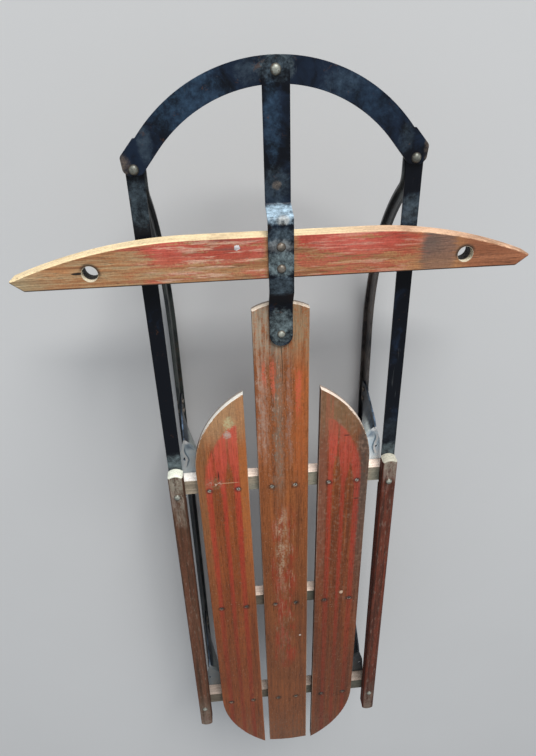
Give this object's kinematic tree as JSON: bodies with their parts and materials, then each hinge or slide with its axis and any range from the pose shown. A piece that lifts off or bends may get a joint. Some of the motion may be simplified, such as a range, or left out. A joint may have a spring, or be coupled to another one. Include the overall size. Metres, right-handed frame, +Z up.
{
  "type": "steerable snow sled",
  "caption": "Child's wooden snow sled with flexible steel runners, a steel bow, and a cross bar that steers by bending the runners.",
  "frame": {"origin": "on the ground, in the middle of the sled's length and width", "axes": "+Y forward to the bow, +X to the rider's right, +Z up"},
  "size_m": [0.5222, 1.082, 0.1609],
  "materials": {
    "deck_wood": "worn orange-brown varnish with red stripes",
    "rail_wood": "weathered dark varnish",
    "bench_wood": "bare grey-brown wood",
    "bar_wood": "worn varnish with old red paint",
    "blue_black_steel": "scuffed blue-black paint",
    "runner_steel": "scuffed black paint, bare worn sole",
    "rivet_steel": "dull, tarnished"
  },
  "bodies": {
    "frame": {"center_board": "deck_wood", "left_board": "deck_wood", "right_board": "deck_wood", "front_bench": "bench_wood", "middle_cleat": "bench_wood", "rear_bench": "bench_wood", "left_rail": "rail_wood", "right_rail": "rail_wood", "left_front_knee": "blue_black_steel", "right_front_knee": "blue_black_steel", "left_rear_knee": "blue_black_steel", "right_rear_knee": "blue_black_steel", "left_runner_rear": "runner_steel", "right_runner_rear": "runner_steel", "runner_rivets": "rivet_steel", "rail_bolts": "rivet_steel", "pivot_rivet": "rivet_steel"},
    "steering": {"steering_bar": "bar_wood", "steering_strap": "blue_black_steel", "bar_bolts": "rivet_steel"},
    "bow": {"bow": "blue_black_steel", "bow_rivets": "rivet_steel"},
    "left_link": {"left_side_strap": "blue_black_steel"},
    "right_link": {"right_side_strap": "blue_black_steel"},
    "left_runner_spring": {"left_runner_front": "runner_steel"},
    "right_runner_spring": {"right_runner_front": "runner_steel"}
  },
  "joints": [
    {"name": "steering_turn", "type": "hinge", "parent": "frame", "child": "steering", "pos_m": [0, 0.278, 0.145], "axis": [0, 0, 1], "range_deg": [-10, 10]},
    {"name": "bow_turn", "type": "hinge", "parent": "steering", "child": "bow", "pos_m": [0, 0.5295, 0.13], "axis": [0, 0, 1], "range_deg": [-10, 10]},
    {"name": "left_link_turn", "type": "hinge", "parent": "frame", "child": "left_link", "pos_m": [-0.1354, 0.061, 0.133], "axis": [0, 0, 1], "range_deg": [-6.49, 6.49]},
    {"name": "left_runner_flex", "type": "hinge", "parent": "frame", "child": "left_runner_spring", "pos_m": [-0.13277, 0.1415, 0.012], "axis": [0, 0, 1], "range_deg": [-8.18, 8.18]},
    {"name": "right_link_turn", "type": "hinge", "parent": "frame", "child": "right_link", "pos_m": [0.1354, 0.061, 0.133], "axis": [0, 0, 1], "range_deg": [-6.49, 6.49]},
    {"name": "right_runner_flex", "type": "hinge", "parent": "frame", "child": "right_runner_spring", "pos_m": [0.13277, 0.1415, 0.012], "axis": [0, 0, 1], "range_deg": [-8.18, 8.18]}
  ],
  "couplings": [
    {"joint": "bow_turn", "follows": "steering_turn", "ratio": -1},
    {"joint": "left_link_turn", "follows": "steering_turn", "ratio": 0.6438},
    {"joint": "left_runner_flex", "follows": "steering_turn", "ratio": 0.8126},
    {"joint": "right_link_turn", "follows": "steering_turn", "ratio": 0.6438},
    {"joint": "right_runner_flex", "follows": "steering_turn", "ratio": 0.8126}
  ]
}
